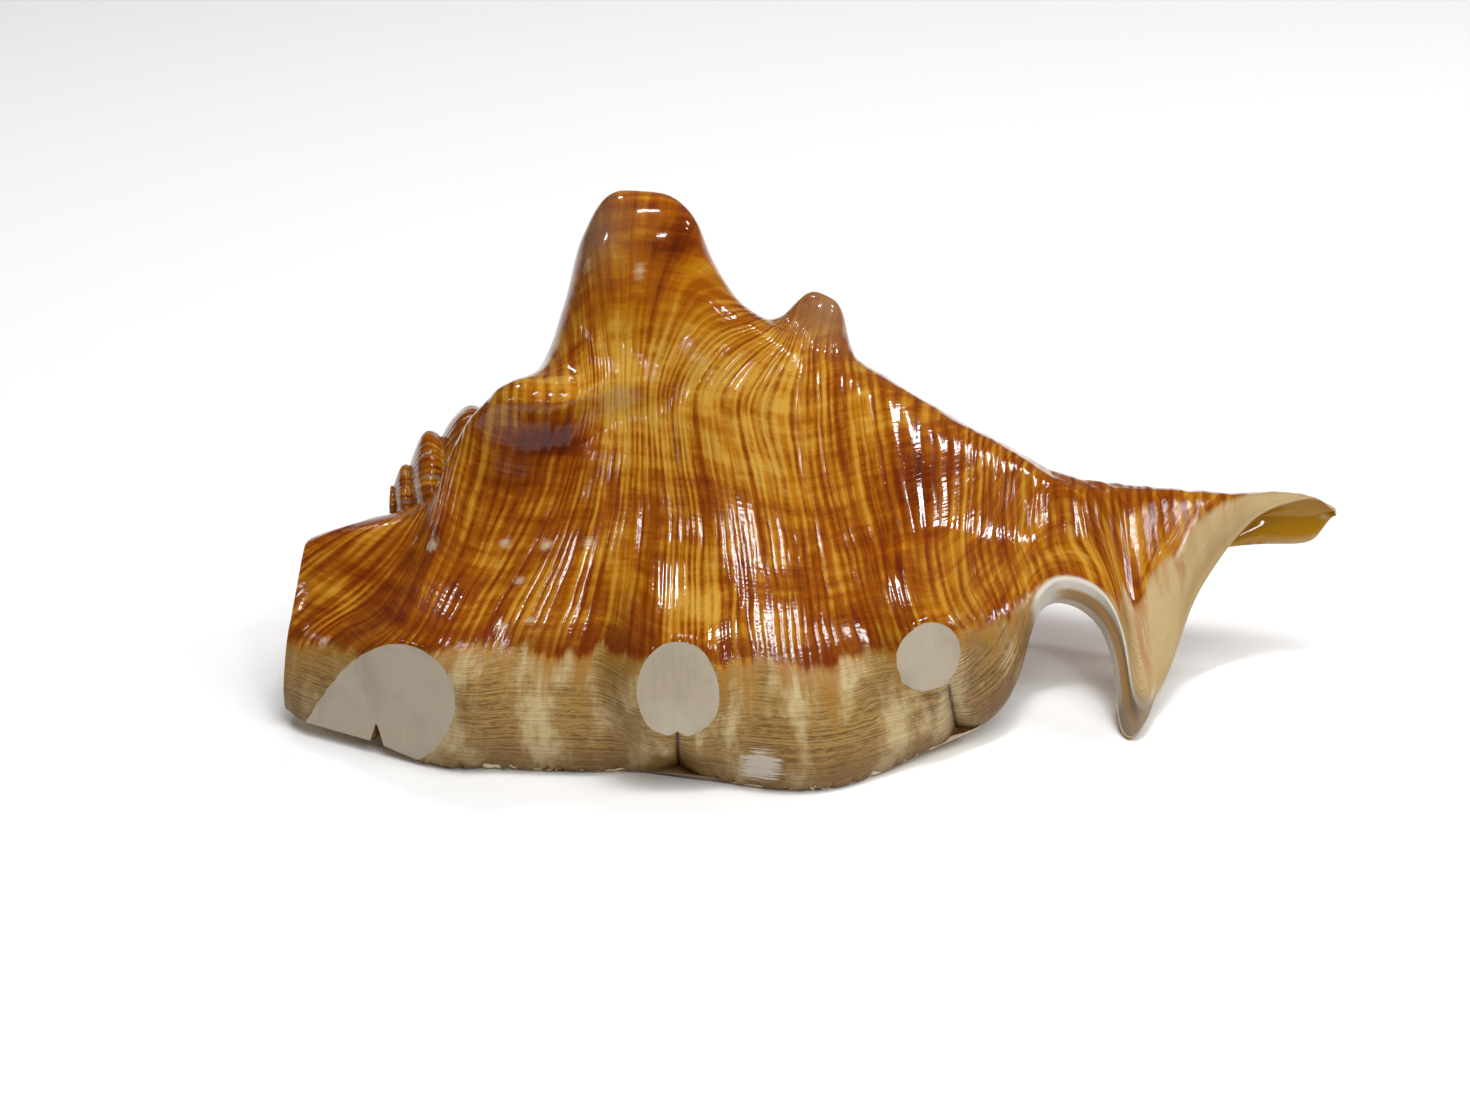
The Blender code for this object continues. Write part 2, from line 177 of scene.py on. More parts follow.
# %% [markdown]
# Curves through the rails
#
# A natural spline has no kinks, and a polished shell shows every kink as a break in its
# highlights. The ring around each station is a smooth closed curve that its guide points pull
# on, the way a draughtsman's batten is pulled by its weights.


# %% Curve helpers
def spline(points, where):
    """Natural cubic spline through (station, x, y, z) points, read at many stations."""
    knots = np.array([p[0] for p in points], float)
    values = np.array([p[1:] for p in points], float)
    step = np.diff(knots)
    count = len(knots)
    system = np.eye(count)
    right = np.zeros_like(values)
    for i in range(1, count - 1):
        system[i, i - 1:i + 2] = step[i - 1], 2 * (step[i - 1] + step[i]), step[i]
        slopes = (values[i + 1] - values[i]) / step[i] - (values[i] - values[i - 1]) / step[i - 1]
        right[i] = 6 * slopes
    bend = np.linalg.solve(system, right)
    span = np.clip(np.searchsorted(knots, where, side="right") - 1, 0, count - 2)
    width = step[span][:, None]
    after = (where - knots[span])[:, None]
    before = width - after
    return (
        (bend[span] * before ** 3 + bend[span + 1] * after ** 3) / (6 * width)
        + (values[span] / width - bend[span] * width / 6) * before
        + (values[span + 1] / width - bend[span + 1] * width / 6) * after
    )


def ramp(start, end, value):
    """0 before start, 1 after end, and smooth in between."""
    t = np.clip((value - start) / (end - start), 0, 1)
    return t * t * (3 - 2 * t)


def unit(vectors):
    return vectors / (np.linalg.norm(vectors, axis=-1, keepdims=True) + 1e-9)


def nearness(points, centre, radius):
    """1 at the centre, fading smoothly to almost nothing at twice the radius."""
    away = np.linalg.norm(points - np.array(centre), axis=-1)
    return np.exp(-(away / radius) ** 2)


def guides(stations):
    """The ring of guide points at each station, as [station, guide, xyz]."""
    lip = spline(LIP_EDGE, stations)
    shoulder = spline(LIP_SHOULDER, stations)
    crest = spline(CREST, stations)
    back = spline(BACK, stations)
    belly = spline(BELLY, stations)
    inner = spline(INNER_LIP, stations)
    size = np.linalg.norm(crest - belly, axis=1, keepdims=True) / 84
    body = ((1 - ramp(0.66, 0.80, stations)) * ramp(0.0, 0.2, stations))[:, None]
    closed = (1 - ramp(0.0, 0.17, stations) + 0.8 * ramp(0.88, 1.0, stations))[:, None]
    horn = (ramp(0.70, 0.75, stations) * (1 - ramp(0.86, 0.90, stations)))[:, None]

    front = np.array([0, -1.0, 0])
    up = np.array([0, 0, 1.0])
    wall = (lip + shoulder) / 2 + front * (1.5 + 2.5 * body)
    top = crest + (front * 16 + up * 4) * size
    rise = top - shoulder
    wing = [shoulder + rise * part - up * sag * body for part, sag in ((0.28, 4), (0.52, 8), (0.78, 3))]
    back_high = crest + (back - crest) * 0.5 + (up * 9 - front * 11) * size
    back_low = belly + (back - belly) * 0.5 - (up * 9 + front * 10) * size
    belly_front = belly + (inner - belly) * 0.55 - up * 3 * size
    outer = [lip, wall, shoulder, *wing, top, crest, back_high, back, back_low, belly, belly_front, inner]

    skin, edge_width = (
        np.interp(stations, [row[0] for row in THICKNESS], [row[k] for row in THICKNESS])[:, None]
        for k in (1, 2)
    )
    under_horn = unit(np.array([0.1, 0.8, -0.6]))

    def inwards(along, across):
        return unit(unit(np.cross(across, along)) * (1 - horn) + under_horn * horn)

    ceiling = []
    for index, depth in ((2, skin), (3, skin), (4, skin), (5, skin * (1.2 - 0.2 * horn))):
        along = np.gradient(outer[index], stations, axis=0)
        ceiling.append(outer[index] + inwards(along, outer[index + 1] - outer[index - 1]) * depth)
    edge = np.gradient(lip, stations, axis=0) * np.array([1, 1, 0])
    lip_inner = lip + inwards(edge, up) * edge_width + up * 0.5 * (1 - horn)
    depth = inner + (ceiling[2] - inner) * 0.35 + up * 4 * size
    deep = inner + (ceiling[3] - inner) * 0.72 - front * 6 * size
    cavity = [depth, deep, ceiling[3], ceiling[2], ceiling[1], ceiling[0]]
    slit = (inner + lip_inner) / 2 + np.where(stations < 0.5, 10, 0)[:, None] * up
    slit = slit - np.where(stations > 0.5, 1.5, 0)[:, None] * front
    cavity = [point + (slit - point) * closed for point in cavity]
    return np.stack([*outer, *cavity, lip_inner], axis=1)


def skin_points(stations, turns):
    """Points of the skin at each station (rows) and each place around the ring (columns)."""
    ring = guides(stations)
    count = ring.shape[1]
    whole = np.floor(turns).astype(int)
    t = (turns - whole)[None, :, None]
    a, b, c, d = (ring[:, (whole + i) % count] for i in (-1, 0, 1, 2))
    return (
        (1 - t) ** 3 * a + (3 * t ** 3 - 6 * t ** 2 + 4) * b
        + (-3 * t ** 3 + 3 * t ** 2 + 3 * t + 1) * c + t ** 3 * d
    ) / 6


# %% [markdown]
# The mesh that gets bent
#
# A flat grid is the natural start for a skin: one side of it becomes the length of the shell
# and the other is wrapped round. The grid lines are spread unevenly, closer together where the
# sawn spines and their seams need them, and wide apart inside the opening.

# %% A grid with more lines where the shell has more detail
LENGTHWISE = 430
AROUND = 204
CLOSE_STATIONS = [(0.10, 0.025, 1.6), (0.356, 0.018, 2.4), (0.60, 0.022, 1.8), (0.78, 0.05, 0.8)]
ALL_TURNS = 21
TURN_SHARES = [
    (0.00, 0.0), (0.18, 2.0), (0.58, 6.5), (0.66, 8.0), (0.80, 12.0), (0.86, 14.0), (0.95, 19.0),
    (1.00, ALL_TURNS),
]


def wrapped_grid(name, lengthwise, around):
    """A flat grid, with the column and the row that each of its points lies in."""
    deselect()
    bpy.ops.mesh.primitive_grid_add(x_subdivisions=lengthwise, y_subdivisions=around, size=1)
    piece = bpy.context.object
    piece.name = name
    flat = np.empty(len(piece.data.vertices) * 3)
    piece.data.vertices.foreach_get("co", flat)
    flat = flat.reshape(-1, 3)
    columns = np.rint((flat[:, 0] + 0.5) * lengthwise).astype(int)
    rows = np.rint((flat[:, 1] + 0.5) * around).astype(int)
    return piece, columns, rows


def close_stations(count):
    fine = np.linspace(0, 1, 4001)
    weight = 1 + sum(
        extra * np.exp(-((fine - middle) / width) ** 2) for middle, width, extra in CLOSE_STATIONS
    )
    total = np.concatenate([[0], np.cumsum((weight[1:] + weight[:-1]) / 2)])
    return np.interp(np.linspace(0, total[-1], count + 1), total, fine)


shell, columns, rows = wrapped_grid("conch_shell", LENGTHWISE, AROUND)
stations = close_stations(LENGTHWISE)
turns = np.interp(
    np.linspace(0, 1, AROUND + 1), [p[0] for p in TURN_SHARES], [p[1] for p in TURN_SHARES]
)
skin = skin_points(stations, turns)
print("grid", skin.shape[:2], "quads", len(shell.data.polygons))

# %% [markdown]
# Knobs
#
# The knobs are where the animal folded its lip at each rest in its growth. Each one is a smooth
# push outwards: strongest at its centre, and gone a finger's width away.

# %% Raise the knobs
KNOBS = [
    ((-41.5, 15, 82), (18.5, 21), 30, (-0.05, 0.02, 1), 3.7),
    ((-46, 15, 82), (8, 12), 2.5, (0, 0, 1), 2),
    ((0.5, 20, 77), (8, 9), 11.5, (0.25, 0.1, 1), 3.4),
    ((-66, -6, 58), (13, 12), 9, (-0.1, -0.6, 1), 2.2),
    ((-54, 44, 62), (10, 10), 9, (-0.4, 0.7, 0.7), 2),
    ((-58, 53, 36), (10, 10), 8, (-0.4, 1, 0), 2),
    ((-57, 42, 12), (10, 10), 6, (-0.4, 0.7, -0.5), 2),
    ((-4, 46, 60), (11, 9), 5, (0.2, 0.7, 0.7), 2),
    ((-8, 53, 38), (11, 9), 4, (0.1, 1, 0), 2),
    ((-64, -15, 68), (17, 9), 5, (0.1, -0.8, 0.6), 2),
]


def facing(points):
    """The direction each point of the skin faces."""
    along = np.gradient(points, axis=0)
    around = np.gradient(points, axis=1)
    around[:, 0] = around[:, -1] = (points[:, 1] - points[:, 0]) + (points[:, -1] - points[:, -2])
    return unit(np.cross(along, around))


def raise_knobs(points):
    faces = facing(points)
    raised = points.copy()
    for centre, reach, height, direction, sharpness in KNOBS:
        direction = unit(np.array(direction, float))
        offset = points - np.array(centre, float)
        deep = offset @ direction
        offset = offset - deep[..., None] * direction
        spread = np.array([reach[0], reach[1], (reach[0] + reach[1]) / 2])
        distance = np.linalg.norm(offset / spread, axis=-1)
        share = np.exp(-distance ** sharpness) * ramp(-0.2, 0.4, faces @ direction) * ramp(-25, -10, deep)
        raised += (height * share)[..., None] * direction
    return raised


skin = raise_knobs(skin)
print("tallest point", skin[..., 2].max().round(1), "mm")

# %% [markdown]
# The fold
#
# The third knob isn't a separate bump: the lip was folded there, so a rounded crest runs along it
# and drops sharply into a hollow. The crest is a short line through six places. A point above it
# is raised over a wide reach, a point just below it hardly at all, and the hollow is pressed in.

# %% Raise the fold
FOLD_CREST = [
    (-80, -12, 66), (-73, -16.5, 71), (-65, -18, 70.5), (-60, -17, 70), (-54, -15, 72),
    (-47, -13, 75),
]
FOLD_HEIGHTS = [0.2, 0.7, 1.0, 1.05, 1.1, 0.8]
FOLD_HEIGHT = 4.5
FOLD_OUT = (0.05, -0.75, 0.66)
FOLD_DOWN = (0.1, -0.60, -0.79)
REACH_ABOVE = 7.0
REACH_BELOW = 1.7
REACH_SIDEWAYS = 7.0
HOLLOW_DEPTH = 0.3
HOLLOW_PLACE = 6.5
HOLLOW_WIDTH = 3.5


def raise_fold(points):
    crest = np.array(FOLD_CREST, float)
    nearest = np.full(points.shape[:2], 1e9)
    offset = np.zeros_like(points)
    height = np.zeros(points.shape[:2])
    for i in range(len(crest) - 1):
        along = crest[i + 1] - crest[i]
        share = np.clip((points - crest[i]) @ along / (along @ along), 0, 1)
        away = points - crest[i] - share[..., None] * along
        distance = np.linalg.norm(away, axis=-1)
        closer = distance < nearest
        nearest = np.where(closer, distance, nearest)
        offset = np.where(closer[..., None], away, offset)
        height = np.where(closer, FOLD_HEIGHTS[i] * (1 - share) + FOLD_HEIGHTS[i + 1] * share, height)
    down = unit(np.array(FOLD_DOWN))
    below = offset @ down
    sideways = np.linalg.norm(offset - below[..., None] * down, axis=-1)
    above_crest = np.exp(-(np.minimum(below, 0) / REACH_ABOVE) ** 2)
    crest_side = np.exp(-(np.maximum(below, 0) / REACH_BELOW) ** 2)
    hollow = HOLLOW_DEPTH * np.exp(-((below - HOLLOW_PLACE) / HOLLOW_WIDTH) ** 2) * (below > 0)
    profile = (above_crest * crest_side - hollow) * np.exp(-(sideways / REACH_SIDEWAYS) ** 2)
    outward = unit(np.array(FOLD_OUT))
    raised = FOLD_HEIGHT * height * profile * ramp(0.0, 0.4, facing(points) @ outward)
    return points + raised[..., None] * outward


skin = raise_fold(skin)
print("fold crest of", len(FOLD_CREST), "places")

# %% [markdown]
# Cord numbers
#
# The cords spread out from the knobs and bend on their way down to the lip. Each row below
# follows one cord, by the station where it crosses the lip edge, the shoulder, the wing at four
# heights and the crest. Every other point reads its cord number from the rows beside it, and
# both the relief and the colours are drawn in that number, so they always agree.

# %% Number the cords over the skin
CORD_LEVELS = [0, 2, 3, 4, 5, 6, 7]
CORDS = [
    (0, (-0.60, -0.55, -0.50, -0.45, -0.40, -0.30, -0.20)),
    (60, (-0.12, -0.09, -0.07, -0.05, -0.02, 0.02, 0.06)),
    (76, (0.010, 0.024, 0.045, 0.061, 0.076, 0.081, 0.083)),
    (100, (0.098, 0.112, 0.136, 0.148, 0.157, 0.160, 0.159)),
    (117, (0.180, 0.194, 0.214, 0.242, 0.275, 0.262, 0.240)),
    (136, (0.265, 0.270, 0.284, 0.296, 0.300, 0.287, 0.278)),
    (155, (0.352, 0.345, 0.350, 0.352, 0.345, 0.412, 0.450)),
    (165, (0.381, 0.380, 0.380, 0.378, 0.366, 0.440, 0.468)),
    (175, (0.410, 0.417, 0.415, 0.410, 0.395, 0.458, 0.480)),
    (189, (0.481, 0.475, 0.469, 0.458, 0.440, 0.480, 0.494)),
    (204, (0.536, 0.536, 0.528, 0.520, 0.510, 0.512, 0.516)),
    (219, (0.572, 0.570, 0.566, 0.569, 0.569, 0.570, 0.573)),
    (231, (0.620, 0.610, 0.605, 0.610, 0.623, 0.630, 0.635)),
    (247, (0.690, 0.680, 0.674, 0.670, 0.674, 0.676, 0.681)),
    (258, (0.733, 0.731, 0.728, 0.724, 0.724, 0.725, 0.729)),
    (269, (0.796, 0.800, 0.795, 0.780, 0.776, 0.781, 0.785)),
    (283, (0.865, 0.870, 0.865, 0.858, 0.848, 0.841, 0.841)),
    (295, (0.911, 0.909, 0.907, 0.906, 0.905, 0.904, 0.905)),
    (318, (1.00, 1.00, 1.00, 1.00, 1.00, 1.00, 1.00)),
]


def cord_numbers(stations, turns):
    """The cord number at every station and turn: about 1 for each millimetre across the wing."""
    numbers = np.array([row[0] for row in CORDS], float)
    paths = np.array([row[1] for row in CORDS], float)
    levels = np.clip(turns, 0, 7)
    field = np.empty((len(stations), len(turns)))
    for j, level in enumerate(levels):
        crossing = [np.interp(level, CORD_LEVELS, path) for path in paths]
        field[:, j] = np.interp(stations, crossing, numbers)
    reach = np.array([0.25, 0.5, 0.25])
    for _ in range(6):
        field[1:-1] = sum(w * field[i:len(field) - 2 + i] for i, w in enumerate(reach))
    for _ in range(10):
        field[:, 1:-1] = sum(w * field[:, i:len(turns) - 2 + i] for i, w in enumerate(reach))
    return field


cords = cord_numbers(stations, turns)
steps = np.linalg.norm(np.diff(skin, axis=1), axis=-1)
from_edge = np.concatenate([np.zeros((len(stations), 1)), np.cumsum(steps, axis=1)], axis=1)
print("cord numbers", cords.min().round(1), "to", cords.max().round(1))

# %% [markdown]
# Relief
#
# The cords stand about a tenth of a millimetre proud and are of unequal width, so they are made
# from several waves of unlike spacing. They fade out on the tips of the knobs, which are worn
# smooth, on the lip wall, and inside the opening, which is glazed. Around the notch in the lip a
# rounded ridge follows the edge, with a groove beside it. The tall knob is a little fuller on the
# side that faces the canal, and its top is lowered a little, so that it stays below the CAD top.

# %% Cord relief
CORD_WAVES = [(6.3, 0.05, 0.3), (3.4, 0.045, 1.7), (9.7, 0.06, 2.2)]
SWELLS = [(23, 31, 0.12), (41, 17, 0.12)]
RELIEF_SUNK = 0.15
SWELLS_SUNK = 0.3
CORD_TURNS = (1.9, 2.9)
SWELL_TURNS = (0.5, 2.5)
INSIDE_TURNS = (10.5, 12.0)
RIM_STATIONS = (0.685, 0.715, 0.795, 0.815)
RIM_WIDTH = 7.6
RIM_HEIGHT = 0.9
RIM_TURNS = 6
RIDGE_REACH = 1.1
GROOVE_REACH = 2.2
GROOVE_DEPTH = 0.8
TOP_LOWERED = 0.6
TOP_HEIGHTS = (100, 116)
MAUVE_TIPS = [((-53, 6, 108), 9), ((3, 16, 85), 9)]
SMOOTH_TIPS = [((-41, 4, 108), 26), ((3, 17, 86), 10)]
FULLER = [((-29, 8, 109), 8, 2.3)]

relief = sum(
    height * np.sin(2 * np.pi * cords / spacing + phase) for spacing, height, phase in CORD_WAVES
)
rolling = sum(
    height * np.sin(2 * np.pi * cords / wide + tall) * np.sin(2 * np.pi * from_edge / tall + wide)
    for wide, tall, height in SWELLS
)
tip = np.zeros(skin.shape[:2])
for centre, radius in SMOOTH_TIPS:
    tip = np.maximum(tip, nearness(skin, centre, radius))
mauve = sum(nearness(skin, centre, radius) for centre, radius in MAUVE_TIPS)
cord_amount = (relief - RELIEF_SUNK) * ramp(*CORD_TURNS, turns) * (1 - tip)
swell_amount = (rolling - SWELLS_SUNK) * ramp(*SWELL_TURNS, turns)
amount = (cord_amount + swell_amount) * (1 - ramp(*INSIDE_TURNS, turns))
at_notch = ramp(*RIM_STATIONS[:2], stations) * (1 - ramp(*RIM_STATIONS[2:], stations))
ridge = np.exp(-((from_edge - RIM_WIDTH) / RIDGE_REACH) ** 2)
groove = GROOVE_DEPTH * np.exp(-((from_edge - RIM_WIDTH / 2) / GROOVE_REACH) ** 2)
amount += RIM_HEIGHT * (ridge - groove) * at_notch[:, None] * (turns < RIM_TURNS)
for centre, radius, height in FULLER:
    amount += height * nearness(skin, centre, radius)
skin = skin + facing(skin) * amount[..., None]
skin[..., 2] -= TOP_LOWERED * ramp(*TOP_HEIGHTS, skin[..., 2])
print("relief from", relief.min().round(2), "to", relief.max().round(2), "mm")

# %% [markdown]
# Roots of the spines
#
# Each spine left a root when it was sawn off: the lip swells out to meet the saw cut. The outline
# of the cut is given as it is seen from the front. Inside it the skin is pulled a little past the
# plane of the saw, and around it the swelling dies away into the wing.

# %% Swell the lip out to the saw cuts
PAST_SAW = 3.0
LEAST_SWELL = 0.2
BEHIND_SAW = 0.02
DEEPEST_SWELL = 40
SPINE_ROOTS = [
    ((-100, -50.5, 15), (-0.5, -0.86, 0.08), 1.75, [
        (-119.5, 1), (-112, 0), (-103.3, 0), (-101, 7), (-98.7, 0), (-91, 1.5), (-85, 8),
        (-82, 15), (-82, 21), (-84.5, 25.5), (-89, 28), (-94, 28.3), (-98, 27), (-101.5, 24.8),
        (-104.8, 22.1), (-107.7, 19), (-110.4, 15.4), (-113.2, 11.2), (-116.4, 6),
    ]),
    ((-31, -69.5, 23), (0, -1, 0.25), 2.1, [
        (-31.2, 34.9), (-27, 33.7), (-23.6, 28.9), (-22.3, 23.7), (-23.6, 17.7), (-27.8, 14.7),
        (-32.9, 14.3), (-37.5, 16), (-40, 21.1), (-40, 27.2), (-37.1, 32.4), (-34.1, 34.5),
    ]),
    ((25, -57, 24), (0.28, -1, 0.2), 2.2, [
        (25, 34.5), (29, 33.1), (31.7, 29.4), (31.7, 24.8), (29, 20.6), (25, 19.2), (20.5, 20.6),
        (18, 24.8), (18, 29.4), (21, 33.1),
    ]),
]
on_front = (turns < 5.5)[None, :]


def outline_reach(x, z, outline):
    """How far out a place is, where 1 is on the outline."""
    outline = np.array(outline, float)
    middle = (outline.min(axis=0) + outline.max(axis=0)) / 2
    angle = np.arctan2(outline[:, 1] - middle[1], outline[:, 0] - middle[0])
    radius = np.hypot(*(outline - middle).T)
    order = np.argsort(angle)
    here = np.arctan2(z - middle[1], x - middle[0])
    outline_radius = np.interp(here, angle[order], radius[order], period=2 * np.pi)
    return np.hypot(x - middle[0], z - middle[1]) / outline_radius


def saw_depth(points, point, direction):
    """How far a point lies behind the saw cut, measured straight back from the front."""
    fx, fy, fz = direction
    cut = point[1] - ((points[..., 0] - point[0]) * fx + (points[..., 2] - point[2]) * fz) / fy
    return points[..., 1] - cut


for point, direction, fade, outline in SPINE_ROOTS:
    depth = saw_depth(skin, point, direction)
    reach = outline_reach(skin[..., 0], skin[..., 2], outline)
    outer = np.maximum(depth, LEAST_SWELL) * ramp(1.0, fade, reach) ** 0.8
    wanted = np.where(reach < 1, -PAST_SAW * (1 - reach), np.maximum(outer, BEHIND_SAW))
    near = on_front & (reach < fade) & (depth < DEEPEST_SWELL)
    skin[..., 1] += np.where(near, wanted - depth, 0)
print("spine roots:", len(SPINE_ROOTS))

# %% [markdown]
# Seams
#
# While it grew, each spine was a gutter in the lip, and the gutter closed to a seam. Two rounded
# lobes of the lip meet there in a sharp valley that deepens towards the table.

# %% Press the seams into the lip
SPINE_SEAMS = [
    ((-101, 8), (-101, -2), 3.6, 5.5, (0.5, 0.86)),
    ((-31.5, 15.5), (-31.5, -2), 8.0, 5.5, (0, 1)),
    ((29.5, 20), (35, -2), 7.0, 5.5, (-0.28, 1)),
]
CREVICE_WIDTH = 0.9

crevice = np.zeros(skin.shape[:2])
low_front = (turns < 2.6)[None, :]
for (top_x, top_z), (low_x, low_z), half_width, deep, inward in SPINE_SEAMS:
    down = np.clip((top_z - skin[..., 2]) / (top_z - low_z), 0, 1)
    across = np.abs(skin[..., 0] - (top_x + (low_x - top_x) * down))
    valley = np.clip(1 - across / (half_width * down ** 0.5 + 1e-6), 0, 1) ** 2 * down ** 0.7 * low_front
    skin[..., 0] += valley * deep * inward[0]
    skin[..., 1] += valley * deep * inward[1]
    crevice = np.maximum(crevice, np.clip(1 - across / CREVICE_WIDTH, 0, 1) * (down > 0) * low_front)
print("seams:", len(SPINE_SEAMS))

# %% [markdown]
# Chips
#
# The thin lower edge of the lip has knocked against stones and tables: small chips are missing
# along it. The edge is lifted by up to a millimetre in short uneven steps, but not at the seams.

# %% Chip the lower edge
CHIP_HEIGHT = 1.1
CHIP_REACH = 2.6
CHIP_WAVES = [(11.0, 0.4), (4.7, 1.9), (2.3, 2.6)]
CHIP_STATIONS = (0.10, 0.14, 0.58, 0.62)
SEAM_CLEARANCE = (6.0, 10.0)

edge_distance = np.minimum(from_edge, from_edge[:, -1:] - from_edge)
jagged = sum(np.sin(2 * np.pi * cords / spacing + phase) for spacing, phase in CHIP_WAVES) / 3
lifted = ramp(-0.1, 0.35, jagged) * np.exp(-(edge_distance / CHIP_REACH) ** 2)
chipped = ramp(*CHIP_STATIONS[:2], stations) * (1 - ramp(*CHIP_STATIONS[2:], stations))
chipped = np.repeat(chipped[:, None], skin.shape[1], axis=1)
for _, (low_x, _), *_ in SPINE_SEAMS:
    chipped *= ramp(*SEAM_CLEARANCE, np.abs(skin[..., 0] - low_x))
skin[..., 2] += CHIP_HEIGHT * lifted * chipped
print("chips reach", (CHIP_HEIGHT * lifted).max().round(2), "mm")

# %% [markdown]
# From the array to the mesh
#
# The growth map keeps, for every corner of every face, the cord number and the distance from the
# lip edge. The zone map keeps the place around the ring and the distance above the line where the
# brown begins. Both are written while the grid is still open, so the seam where it closes doesn't
# smear them. The canal ends in a rounded tip, so its last few rings shrink around their middles.

# %% Shape the grid and write its maps
BROWN_STARTS = [
    (0.00, 16), (0.063, 19.5), (0.12, 25), (0.181, 32.5), (0.27, 27.3), (0.333, 33), (0.404, 31.9),
    (0.504, 29.5), (0.553, 29.5), (0.597, 31.3), (0.63, 24), (0.66, 17), (0.685, 12), (0.72, 8),
    (0.75, 9), (0.77, 14), (0.785, 34), (0.82, 38), (0.86, 28.8), (0.90, 18.6), (0.925, 14),
    (0.945, 60), (1.00, 80),
]
TIP_START = 0.970
TIP_SHRINK = 0.62
MAP_SCALE = 0.01


def shape_grid(piece, points, columns, rows):
    """Move the points of a flat grid into place, and take away its flat map."""
    piece.data.vertices.foreach_set("co", place(points[columns, rows]).ravel())
    piece.data.update()
    for layer in list(piece.data.uv_layers):
        piece.data.uv_layers.remove(layer)


def write_map(piece, name, u, v, columns, rows):
    layer = piece.data.uv_layers.new(name=name)
    corners = np.empty(len(piece.data.loops), int)
    piece.data.loops.foreach_get("vertex_index", corners)
    pairs = np.stack([u[columns, rows][corners], v[columns, rows][corners]], axis=1)
    layer.data.foreach_set("uv", pairs.ravel())


def write_field(piece, name, values, columns, rows):
    field = piece.data.attributes.new(name, "FLOAT", "POINT")
    field.data.foreach_set("value", values[columns, rows])


middle = skin.mean(axis=1)[:, None, 1:]
shrink = 1 - TIP_SHRINK * ramp(TIP_START, 1.0, stations)[:, None, None] ** 2
skin[..., 1:] = middle + (skin[..., 1:] - middle) * shrink
box = np.array(CAD_BOX) / MM + FOOTPRINT_CENTRE
skin = np.clip(skin, box[0], box[1])
shape_grid(shell, skin, columns, rows)
write_map(shell, "growth", cords * MAP_SCALE, from_edge * MAP_SCALE, columns, rows)
above_cream = from_edge - np.interp(stations, *zip(*BROWN_STARTS))[:, None]
ring_share = np.tile(turns / ALL_TURNS, (len(stations), 1))
write_map(shell, "zones", ring_share, above_cream * MAP_SCALE, columns, rows)
print("maps:", [layer.name for layer in shell.data.uv_layers])

# %% [markdown]
# Washes of colour
#
# Some parts of this shell are darker or paler than a pattern alone would make them: the dip between the
# knobs is tan, a few pale specks are scattered over the wing, two spots on the wall are chalky, and the
# end of the horn is grey. Just under the crest of the fold below the third knob, the red-brown is
# deepened as painted shade under the overhang, and the ledge above the crest is made paler as painted
# light. Each wash is a soft round patch, placed where it lies on the shell.

# %% Washes and specks
WASHES_AND_PAINTED_SHADING = [
    ((-106, -24, 37), 16, 0.18), ((-93, -42, 35), 14, 0.14), ((-77, -33, 41), 12, 0.10),
    # The fold: the first two washes darken it under its crest, which is painted shade under the overhang;
    # the next two lighten the ledge above the crest, which is painted light.
    ((-57, -19, 65), 7, 0.40), ((-68, -21, 63), 8, 0.30), ((-58, -17, 78), 6, -0.40),
    ((-68, -17, 77), 6, -0.30), ((-30, 4, 106), 9, 0.25),
    ((27, -13, 48), 13, 0.25), ((15, -29, 44), 10, 0.15), ((60, 13, 43), 12, 0.20),
    ((-27, -27, 56), 10, 0.15), ((7, -51, 34), 12, 0.20), ((86, 7, 40), 9, 0.20),
    ((-60, 0, 83), 10, -0.15), ((-41, -10, 76), 12, -0.25), ((-27, -13, 73), 12, -0.15),
    ((-16, -17, 67), 14, -0.30), ((-8, 0, 80), 13, -0.25), ((-29, -36, 47), 9, -0.12),
    ((-26, -55, 40), 7, -0.45), ((45, -23, 33), 6, -0.20), ((-48, -13, 68), 7, -0.30),
    ((34, -13, 43), 8, -0.08), ((75, -8, 33), 10, -0.20),
]
SPECKS = [
    (-62.3, -31.9, 44), (-52, -32.9, 44.4), (-67.8, -39.3, 38.4), (-65.1, -49.2, 32.7), (-53, 4.1, 100),
    (-40.7, -0.9, 100), (-71.6, -30, 43.7), (-71.2, -50, 31.8), (-89.1, -28.1, 42.5),
]
SPECK_RADIUS = 1.9
CHALKY = [((-13, -73, 7), 5.5), ((-36, -70, 4), 4.0)]
HORN_TIP = ((75, -43, 1), 9.0)

FIELDS = {
    "crevice": crevice,
    "knob_tip": tip,
    "mauve": mauve,
    "wash": sum(share * nearness(skin, centre, radius) for centre, radius, share in WASHES_AND_PAINTED_SHADING),
    "speck": sum(nearness(skin, centre, SPECK_RADIUS) for centre in SPECKS),
    "chalk": sum(nearness(skin, centre, radius) for centre, radius in CHALKY),
    "horn": nearness(skin, *HORN_TIP),
}
for name, values in FIELDS.items():
    write_field(shell, name, values, columns, rows)
print("washes:", len(WASHES_AND_PAINTED_SHADING), "specks:", len(SPECKS))

# %% [markdown]
# Closing the skin
#
# Merging the doubled points joins the two long sides of the grid, and the open ends at the spire
# and at the canal's tip are filled. Then the normals are turned outwards, and the faces made smooth.


# %% Close the skin
def close_skin(piece, gap=0.002):
    pick(piece)
    bpy.ops.object.mode_set(mode="EDIT")
    bpy.ops.mesh.select_mode(type="VERT")
    bpy.ops.mesh.select_all(action="SELECT")
    bpy.ops.mesh.remove_doubles(threshold=gap * MM)
    bpy.ops.mesh.fill_holes(sides=0)
    bpy.ops.mesh.select_all(action="SELECT")
    bpy.ops.mesh.normals_make_consistent(inside=False)
    bpy.ops.object.mode_set(mode="OBJECT")
    piece.data.polygons.foreach_set("use_smooth", np.ones(len(piece.data.polygons), bool))


